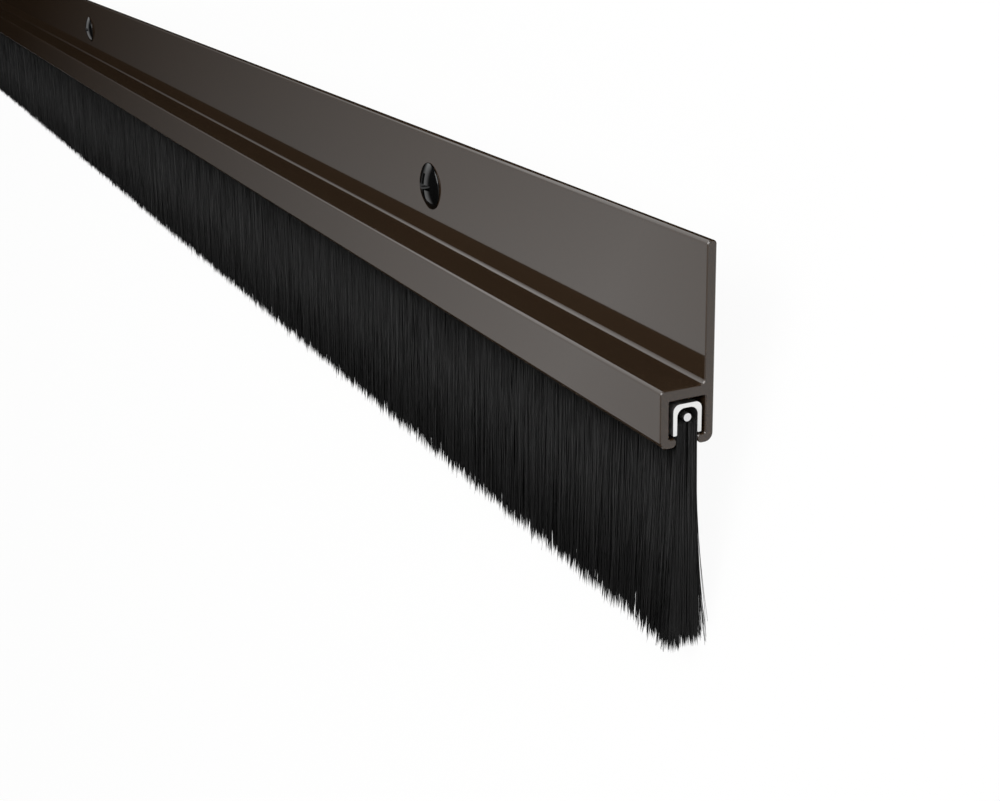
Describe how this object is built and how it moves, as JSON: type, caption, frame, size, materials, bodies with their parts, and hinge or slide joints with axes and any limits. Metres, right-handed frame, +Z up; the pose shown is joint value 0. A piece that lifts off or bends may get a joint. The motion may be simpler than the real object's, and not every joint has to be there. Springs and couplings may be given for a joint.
{
  "type": "brush seal strip",
  "caption": "Door-bottom brush seal: extruded holder with a screw flange and a slotted channel that grips a folded bristle strip, with countersunk screws.",
  "frame": {"origin": "on the floor, under the middle of the strip's bounding box", "axes": "+X along the strip, +Y level, from the bristle tips towards the flange's top edge, +Z up from the floor"},
  "size_m": [0.9144, 0.0474, 0.015],
  "materials": {
    "bronze_anodised_aluminium": "dark bronze anodised, satin to bright",
    "galvanised_steel": "light zinc coating",
    "bright_steel_wire": "drawn, bright",
    "black_nylon": "black filament",
    "blackened_steel": "black, glossy"
  },
  "bodies": {
    "root": {"carrier": "bronze_anodised_aluminium", "brush_channel": "galvanised_steel", "core_wire": "bright_steel_wire", "bristles": "black_nylon", "screw_1": "blackened_steel", "screw_2": "blackened_steel", "screw_3": "blackened_steel", "screw_4": "blackened_steel"}
  },
  "joints": []
}
